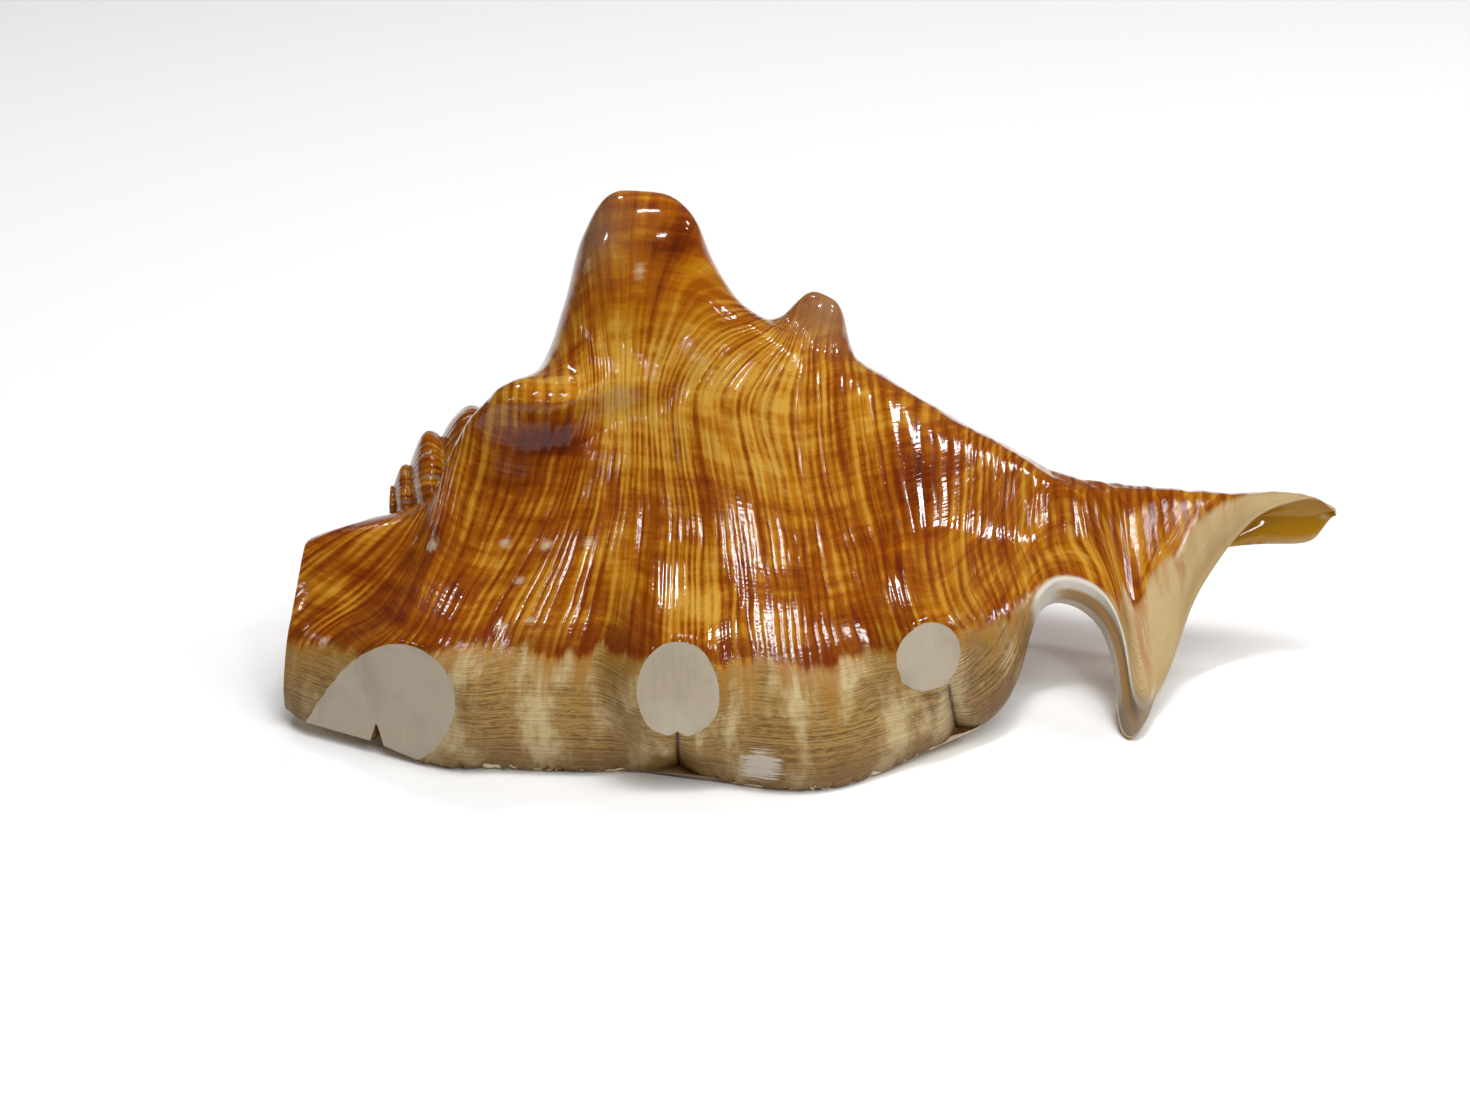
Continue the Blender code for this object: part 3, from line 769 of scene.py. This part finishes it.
def open_edges(piece):
    counts = bmesh.new()
    counts.from_mesh(piece.data)
    found = sum(1 for edge in counts.edges if not edge.is_manifold)
    counts.free()
    return found


close_skin(shell)
print("points", len(shell.data.vertices), "open edges", open_edges(shell))

# %% [markdown]
# The saw cuts
#
# A bisect is the saw: it cuts the selected faces along a plane, throws away what stands in front
# of it and fills the cut. Only the faces around each root are selected, so the rest of the lip is
# left alone. The cut faces get a slot of their own, because bare sawn shell is matt, and their
# edges stay sharp.

# %% Saw the spines and the spire end
SAWN_END_POINT = (-123, -31, 10)
SAWN_END_FACING = (-1, 0.18, 0.05)
SAW_REACH = 1.2
SAW_DEPTH = 3.5
FLAT_WITHIN = 2e-7
FEWEST_CORNERS = 9


def saw(piece, point, direction, chosen):
    """Cut the chosen faces along a plane, and mark the new face as sawn."""
    pick(piece)
    piece.data.polygons.foreach_set("select", chosen)
    bpy.ops.object.mode_set(mode="EDIT")
    bpy.ops.mesh.select_mode(type="FACE")
    cut = unit(np.array(direction, float))
    bpy.ops.mesh.bisect(
        plane_co=place(point), plane_no=cut, use_fill=True, clear_outer=True, threshold=1e-7
    )
    bpy.ops.object.mode_set(mode="OBJECT")
    build = bmesh.new()
    build.from_mesh(piece.data)
    on_plane = Vector(place(point))
    made = 0
    for face in build.faces:
        heights = [abs((corner.co - on_plane).dot(Vector(cut))) for corner in face.verts]
        if max(heights) < FLAT_WITHIN and len(heights) >= FEWEST_CORNERS:
            face.material_index = 1
            made += 1
            for edge in face.edges:
                edge.smooth = False
    build.to_mesh(piece.data)
    build.free()
    return made


def middles(piece):
    centres = np.empty(len(piece.data.polygons) * 3)
    piece.data.polygons.foreach_get("center", centres)
    return centres.reshape(-1, 3) / MM + FOOTPRINT_CENTRE


for point, direction, _, outline in SPINE_ROOTS:
    centres = middles(shell)
    reach = outline_reach(centres[:, 0], centres[:, 2], outline)
    chosen = (reach < SAW_REACH) & (np.abs(saw_depth(centres, point, direction)) < SAW_DEPTH)
    print("sawn root at", point, "faces", saw(shell, point, direction, chosen))
everything = np.ones(len(shell.data.polygons), bool)
print("sawn end faces", saw(shell, SAWN_END_POINT, SAWN_END_FACING, everything))
print("open edges", open_edges(shell))

# %% [markdown]
# The spire
#
# Behind the wing the earlier whorls climb to a short point. They are one spiral, so the seam
# between two whorls sinks in by the same share of the radius all the way up, and each whorl
# carries a row of small nodules.

# %% Spire
APEX = (-105, 10, 37)
SPIRE_LENGTH = 27.0
SPIRE_SLOPE = 1.6
SPIRE_FULL = 15.0
WHORL_RATIO = 2.0
WHORLS = 3
NODULES_PER_WHORL = 7
NODULE_TURN = 1.75
SPIRE_ROWS = 64
SPIRE_COLUMNS = 144
SPIRE_CORDS = 22
SPIRE_BANDS = 1.4
SPIRE_EDGE = 40
SPIRE_TURN = 8
SPIRE_ABOVE = 0.3

spire, columns, rows = wrapped_grid("spire_whorls", SPIRE_ROWS, SPIRE_COLUMNS)
step = np.arange(SPIRE_ROWS + 1)[:, None] / SPIRE_ROWS * WHORLS
angle = 2 * np.pi * np.arange(SPIRE_COLUMNS + 1)[None, :] / SPIRE_COLUMNS
whorl = (step - angle / (2 * np.pi)) % 1
bulge = np.sin(np.pi * whorl) ** 0.7
lump = 0.5 + 0.5 * np.cos(NODULES_PER_WHORL * (angle - NODULE_TURN))
nodule = lump * np.exp(-((whorl - 0.55) / 0.3) ** 2)
along = SPIRE_LENGTH * WHORL_RATIO ** (step - WHORLS) + 0 * angle
radius = along * SPIRE_SLOPE / (1 + (along / SPIRE_FULL) ** 4) ** 0.25
radius = radius * (0.80 + 0.24 * bulge + 0.09 * nodule)
cone = np.stack([
    APEX[0] + along, APEX[1] + radius * np.cos(angle), APEX[2] + radius * np.sin(angle),
], axis=-1)
shape_grid(spire, cone, columns, rows)
spire_cords = (angle * SPIRE_CORDS + 0 * step) * MAP_SCALE
spire_edge = (along * SPIRE_BANDS + SPIRE_EDGE) * MAP_SCALE
write_map(spire, "growth", spire_cords, spire_edge, columns, rows)
plain = np.zeros(cone.shape[:2])
write_map(spire, "zones", plain + SPIRE_TURN / ALL_TURNS, plain + SPIRE_ABOVE, columns, rows)
for name in FIELDS:
    write_field(spire, name, plain, columns, rows)
close_skin(spire)
print("spire points", len(spire.data.vertices), "open edges", open_edges(spire))

# %% [markdown]
# Shader maths in plain expressions
#
# A pattern is easier to read as a sum than as a tangle of nodes. Each value here wraps one
# socket, and adding or multiplying two of them adds the Math node that does it.


# %% A small language for nodes
class Value:
    """One number of a material, that can be added, multiplied and compared."""

    def __init__(self, paint, socket):
        self.paint = paint
        self.socket = socket

    def math(self, operation, *others):
        inputs = dict(enumerate((self, *others)))
        return self.paint.value("ShaderNodeMath", {"operation": operation}, inputs)

    def __add__(self, other):
        return self.math("ADD", other)

    def __mul__(self, other):
        return self.math("MULTIPLY", other)

    def __sub__(self, other):
        return self.math("SUBTRACT", other)

    def __rsub__(self, other):
        return self.paint.value("ShaderNodeMath", {"operation": "SUBTRACT"}, {0: other, 1: self})

    def step(self, start, end):
        """0 below start, 1 above end."""
        settings = {"interpolation_type": "SMOOTHSTEP", "clamp": True}
        sockets = {"Value": self, "From Min": start, "From Max": end}
        return self.paint.value("ShaderNodeMapRange", settings, sockets, "Result")

    __radd__ = __add__
    __rmul__ = __mul__


class Paint:
    """A material that is built from expressions."""

    def __init__(self, name):
        self.material = bpy.data.materials.new(name)
        self.material.use_nodes = True
        self.tree = self.material.node_tree
        self.shader = self.tree.nodes["Principled BSDF"]

    def node(self, kind, settings=None, sockets=None):
        made = self.tree.nodes.new(kind)
        for key, setting in (settings or {}).items():
            setattr(made, key, setting)
        for key, item in (sockets or {}).items():
            self.join(item, made.inputs[key])
        return made

    def join(self, item, socket):
        if isinstance(item, Value):
            self.tree.links.new(item.socket, socket)
        elif isinstance(item, tuple) and len(item) == 3 and socket.type == "RGBA":
            socket.default_value = (*item, 1)
        else:
            socket.default_value = item

    def value(self, kind, settings, sockets, output=0):
        return Value(self, self.node(kind, settings, sockets).outputs[output])

    def mix(self, first, second, share):
        sockets = {0: share, 6: first, 7: second}
        return self.value("ShaderNodeMix", {"data_type": "RGBA"}, sockets, 2)

    def coats(self, colour, *washes):
        """The colour with one wash after another over it, each with its share."""
        for wash, share in washes:
            colour = self.mix(colour, wash, share)
        return colour

    def noise(self, x, y, detail=2.0, roughness=0.5):
        """Cloudy noise on a flat sheet with the coordinates x and y."""
        spot = self.value("ShaderNodeCombineXYZ", None, {0: x, 1: y})
        sockets = {"Vector": spot, "Scale": 1.0, "Detail": detail, "Roughness": roughness}
        return self.value("ShaderNodeTexNoise", None, sockets)

    def field(self, name):
        """A number that the piece's points carry."""
        made = self.node("ShaderNodeAttribute", {"attribute_name": name})
        return Value(self, made.outputs["Fac"])

    def cell_map(self, name):
        """The two numbers of one of the piece's maps."""
        uv = self.node("ShaderNodeUVMap", {"uv_map": name})
        split = self.node("ShaderNodeSeparateXYZ", None, {0: Value(self, uv.outputs[0])})
        return Value(self, split.outputs[0]), Value(self, split.outputs[1])


print("node language ready")

# %% [markdown]
# The varnished skin
#
# Three things make the colour. The cords carry dark lines and pale lines all the way down. Bands
# that run along the lip show how fast it grew, from amber to dark red-brown. Over both lie soft
# blotches. The lip wall is cream, with brown running down into it, and the inside is pearl.

# %% Colours of the skin
TAN = (0.50, 0.265, 0.035)
HONEY = (0.38, 0.14, 0.003)
AMBER = (0.27, 0.068, 0.001)
RED_BROWN = (0.135, 0.02, 0.0004)
DEEP_BROWN = (0.06, 0.008, 0.0006)
SPECK_CREAM = (0.66, 0.56, 0.38)
MAUVE = (0.21, 0.12, 0.075)
CORD_SPACING = 2.2

paint = Paint("varnished_skin")
cord, edge_mm = (part * (1 / MAP_SCALE) for part in paint.cell_map("growth"))
ring, above = paint.cell_map("zones")
ring = ring * ALL_TURNS
above = above * (1 / MAP_SCALE)
tip_share = paint.field("knob_tip")
wander = paint.noise(cord * 0.05, edge_mm * 0.04) - 0.5
bent = cord + wander * 3.0

uneven = paint.noise(bent * 0.16 + 5, edge_mm * 0.015, detail=3) * 10
waves = (bent * (2 * math.pi / CORD_SPACING) + uneven).math("SINE") * 0.5 + 0.5
strength = paint.noise(bent * 0.30, edge_mm * 0.05, detail=3)
weave = paint.noise(bent * 0.25 + 60, edge_mm * 0.9, detail=2)
hairlines = paint.noise(bent * 1.5, edge_mm * 0.02, detail=2)
streaks = paint.noise(bent * 0.34 + 40, edge_mm * 0.015, detail=4, roughness=0.65)
bands = paint.noise(cord * 0.05 + 7, edge_mm * 0.30, detail=4, roughness=0.65)
blotches = paint.noise(cord * 0.06 + 90, edge_mm * 0.07, detail=4, roughness=0.6)
dark = 0.52 + (streaks - 0.5) * 1.5 + (bands - 0.5) * 0.9 + (blotches - 0.5) * 1.3 + paint.field("wash")
plain_tip = 1 - tip_share.step(0.15, 0.7)
cord_lines = waves.step(0.40, 0.90) * strength.step(0.36, 0.56) * (0.6 + weave.step(0.36, 0.6) * 0.4)
lip_band = above.step(-1, 1) * (1 - above.step(1.5, 9)) * (1 - cord.step(222, 238)) * cord.step(98, 112)
speck = (paint.field("speck") + (blotches - 0.5) * 1.5 + (weave - 0.5)).step(0.30, 1.2)
brown = paint.coats(
    TAN,
    (HONEY, dark.step(0.08, 0.36)),
    (AMBER, dark.step(0.34, 0.62)),
    (RED_BROWN, dark.step(0.58, 1.0)),
    (RED_BROWN, cord_lines * plain_tip * (0.45 + dark.step(0.1, 0.6) * 0.40)),
    (RED_BROWN, hairlines.step(0.55, 0.68) * plain_tip * 0.45),
    (TAN, (1 - waves).step(0.6, 0.95) * (1 - dark).step(0.3, 0.7) * 0.5 * plain_tip),
    (RED_BROWN, lip_band * (0.2 + streaks)),
    (DEEP_BROWN, dark.step(0.85, 1.25) * 0.8),
    (MAUVE, paint.field("mauve") * 0.7),
    (SPECK_CREAM, speck * 0.6),
)
print("brown nodes:", len(paint.tree.nodes))

# %% [markdown]
# Cream and pearl
#
# The wall is made of the edges of hundreds of thin layers, so it is striped along the lip in cream
# and golden tan. Golden brown from the wing runs down into it, and towards its lower edge the wall is
# darkened as painted shade. The rim of the notch is almost white, with an orange groove beside it,
# and the canal is yellow inside.

# %% Wall, rim and inside
CREAM = (0.33, 0.20, 0.055)
PALE_CREAM = (0.52, 0.40, 0.20)
WALL_TAN_AND_SHADE = (0.12, 0.05, 0.007)
GOLDEN = (0.30, 0.135, 0.012)
SHEET_CREAM = (0.43, 0.31, 0.14)
RIM_WHITE = (0.58, 0.55, 0.48)
GROOVE_ORANGE = (0.31, 0.15, 0.02)
HORN_GREY = (0.20, 0.15, 0.10)
PEARL = (0.74, 0.60, 0.40)
CANAL_YELLOW = (0.36, 0.17, 0.005)
CHALK = (0.62, 0.57, 0.50)
SEAM_DARK = (0.045, 0.022, 0.010)

layers = paint.noise(cord * 0.04, edge_mm * 2.0, detail=4, roughness=0.75)
grain = paint.noise(cord * 0.5, edge_mm * 3.0, detail=3, roughness=0.7)
patches = paint.noise(bent * 0.11 + 33, edge_mm * 0.05, detail=4, roughness=0.6)
tan_share = 0.3 + (1 - patches.step(0.40, 0.62)) * 0.6 + cord.step(208, 235) * 0.6
drips = paint.noise(bent * 0.26 + 11, edge_mm * 0.02, detail=4, roughness=0.65)
stain = (drips * 2.4 - 1.2 + above * 0.05 + 0.75).step(0.25, 0.85)
sheet = cord.step(266, 272)
sheet_streaks = (streaks + above * 0.005).step(0.46, 0.60) * sheet * (1 - cord.step(290, 297))
cream = paint.coats(
    CREAM,
    (PALE_CREAM, patches.step(0.46, 0.64)),
    (WALL_TAN_AND_SHADE, cord.step(208, 235) * (1 - cord.step(262, 268)) * 0.2),
    (WALL_TAN_AND_SHADE, (layers + (grain - 0.5) * 0.6).step(0.44, 0.60) * tan_share),
    # Darker towards the lower edge of the wall: painted shade.
    (WALL_TAN_AND_SHADE, (1 - (edge_mm + (patches - 0.5) * 14).step(-1, 12)) * 0.6),
    (GOLDEN, stain * 0.85),
    (SHEET_CREAM, sheet * 0.8),
    (AMBER, sheet_streaks * 0.5),
)
chalky = (paint.field("chalk") + (patches - 0.5) + (layers - 0.5) * 1.8).step(0.46, 0.62)
at_notch = cord.step(246, 250) * (1 - cord.step(270, 274))
rim_colour = paint.mix(RIM_WHITE, HORN_GREY, cord.step(264, 269) * (1 - cord.step(269, 273)) * 0.7)
groove = at_notch * cord.step(253, 258) * edge_mm.step(1.0, 2.2) * (1 - edge_mm.step(4.8, 6.2))
pearl = paint.mix(PEARL, CANAL_YELLOW, cord.step(250, 292))
skin_colour = paint.coats(
    cream,
    (brown, (above + (drips - 0.5) * 14 * (1 - sheet * 0.5)).step(-1.5, 1.5)),
    (CHALK, chalky * (0.3 + layers * 0.7)),
    (rim_colour, at_notch * (1 - edge_mm.step(8.0, 9.8)) * 0.9),
    (GROOVE_ORANGE, groove * 0.85),
    (HORN_GREY, paint.field("horn").step(0.15, 0.55) * 0.8),
    (pearl, ring.step(12.6, 13.4)),
    (SEAM_DARK, paint.field("crevice").step(0.3, 0.9)),
)
paint.join(skin_colour, paint.shader.inputs["Base Color"])
print("skin nodes:", len(paint.tree.nodes))

# %% [markdown]
# Varnish
#
# Varnish makes a smooth, glossy surface that still follows the cords and the finer growth lines
# across them. Each cord mirrors the windows at a slightly other height than the next, and together
# they break each bright pane into rows of short dashes. The lip wall was left nearly matt.

# %% Varnish
across_lines = paint.noise(cord * 0.3, edge_mm * 1.2, detail=2)
on_wing = above.step(-4, 4) * (1 - ring.step(11.5, 12.5))
rough_cords = on_wing * (0.15 + plain_tip * 0.85)
cord_height = (waves * -0.08 * strength.step(0.2, 0.5) + hairlines * -0.025) * rough_cords
across_height = across_lines * 0.06 * rough_cords
wall_height = (layers + grain) * 0.10 * (1 - above.step(-4, 4)) * (1 - sheet * 0.8)
skin_height = cord_height + (across_height + wall_height)
bump = paint.value("ShaderNodeBump", None, {"Strength": 1.0, "Distance": 0.001, "Height": skin_height})
paint.join(bump, paint.shader.inputs["Normal"])
paint.shader.inputs["Specular IOR Level"].default_value = 0.38
on_wall = (1 - above.step(-5, 1)) * (1 - ring.step(12.5, 13.5))
paint.join(0.10 + 0.42 * on_wall + 0.2 * chalky, paint.shader.inputs["Roughness"])
varnished_skin = paint.material
print("nodes in the skin:", len(paint.tree.nodes))

# %% [markdown]
# Sawn shell
#
# The cut faces are bare, dense and chalky: nearly one colour, with faint specks and scratches.

# %% Sawn faces
SAWN_PALE = (0.42, 0.365, 0.275)
SAWN_GREY = (0.30, 0.255, 0.185)
SAWN_WARM = (0.44, 0.33, 0.23)

paint = Paint("sawn_shell")
spot = paint.node("ShaderNodeTexCoord")
place_on_piece = Value(paint, spot.outputs["Object"])
turn = {"Vector": place_on_piece, "Rotation": (0, math.radians(35), 0), "Scale": (1400, 300, 120)}
scratched = paint.value("ShaderNodeMapping", None, turn)
clouds = paint.value("ShaderNodeTexNoise", None, {"Vector": place_on_piece, "Scale": 90, "Detail": 4})
specks = paint.value("ShaderNodeTexNoise", None, {"Vector": place_on_piece, "Scale": 900, "Detail": 2})
scratches = paint.value("ShaderNodeTexNoise", None, {"Vector": scratched, "Scale": 1.0, "Detail": 3})
sawn_colour = paint.coats(
    SAWN_PALE,
    (SAWN_GREY, clouds.step(0.4, 0.7) * 0.6),
    (SAWN_GREY, specks.step(0.62, 0.75) * 0.35),
    (SAWN_WARM, scratches.step(0.45, 0.62) * 0.5),
)
paint.join(sawn_colour, paint.shader.inputs["Base Color"])
bump = paint.value("ShaderNodeBump", None, {"Strength": 0.2, "Distance": 0.0002, "Height": specks})
paint.join(bump, paint.shader.inputs["Normal"])
paint.shader.inputs["Roughness"].default_value = 0.62
sawn_shell = paint.material
print("nodes in the sawn faces:", len(paint.tree.nodes))

# %% [markdown]
# One piece
#
# A shell has no parts, so the spire is united with the body by a Boolean, and what was inside
# the body goes away.

# %% Unite the spire and the body
for piece in (shell, spire):
    piece.data.materials.append(varnished_skin)
    piece.data.materials.append(sawn_shell)

pick(shell)
union = shell.modifiers.new("spire", "BOOLEAN")
union.operation = "UNION"
union.solver = "EXACT"
union.object = spire
bpy.ops.object.modifier_apply(modifier=union.name)
bpy.data.objects.remove(spire)
print("faces", len(shell.data.polygons), "open edges", open_edges(shell))

# %% [markdown]
# Floor and light
#
# The photo is lit by small bright windows in a darker room, so the browns stay deep and the
# varnish mirrors each pane as broken white dashes on the cords. The soft lights only brighten:
# they aren't mirrored, because a wide pale reflection would lie over the colours like a veil.

# %% Floor and lights
FLOOR_SIZE = 8.0
deselect()
bpy.ops.mesh.primitive_plane_add(size=FLOOR_SIZE)
floor = bpy.context.object
floor.name = "studio_floor"
paint = Paint("pale_floor")
paint.shader.inputs["Base Color"].default_value = (0.86, 0.86, 0.86, 1)
paint.shader.inputs["Roughness"].default_value = 0.7
floor.data.materials.append(paint.material)

SOFT_LIGHTS = [
    ("soft_sky", (0.35, -0.40, 1.55), (1.40, 1.10), 19.0),
    ("soft_front", (1.00, -1.40, 0.90), (1.20, 0.80), 6.0),
    ("soft_back", (0.30, 1.60, 0.90), (1.20, 0.80), 6.0),
]
WINDOWS = [
    ("window_above", (0.12, -0.15, 1.30), (0.42, 0.07), 5.0),
    ("window_right", (1.00, 0.44, 0.74), (0.10, 0.12), 2.6),
    ("window_right_low", (1.10, 0.06, 0.74), (0.07, 0.06), 1.0),
    ("window_front", (0.35, -0.90, 0.85), (0.14, 0.05), 1.6),
    ("window_behind", (-0.35, 0.70, 0.95), (0.12, 0.07), 1.8),
    ("window_left", (-1.10, -0.35, 0.75), (0.06, 0.08), 1.1),
]
LIGHT_AIM = (0, 0, 0.05)


def hang_light(name, spot, size, power):
    deselect()
    bpy.ops.object.light_add(type="AREA", location=spot)
    lamp = bpy.context.object
    lamp.name = name
    lamp.data.shape = "RECTANGLE"
    lamp.data.size, lamp.data.size_y = size
    lamp.data.energy = power
    lamp.rotation_euler = (Vector(spot) - Vector(LIGHT_AIM)).to_track_quat("Z", "Y").to_euler()
    return lamp


for row in SOFT_LIGHTS:
    hang_light(*row).visible_glossy = False
for row in WINDOWS:
    hang_light(*row)

world = bpy.data.worlds.new("studio")
world.use_nodes = True
world.node_tree.nodes["Background"].inputs["Color"].default_value = (1, 1, 1, 1)
world.node_tree.nodes["Background"].inputs["Strength"].default_value = 0.08
bpy.context.scene.world = world
bpy.context.scene.view_settings.view_transform = "Standard"
print("lights:", len(SOFT_LIGHTS) + len(WINDOWS))

# %% [markdown]
# Hand over
#
# The dressed shell stands for the CAD solid, rides on its only body, and keeps inside its box.

# %% Finish
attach(shell, "root")
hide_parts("shell")
bpy.context.view_layer.update()
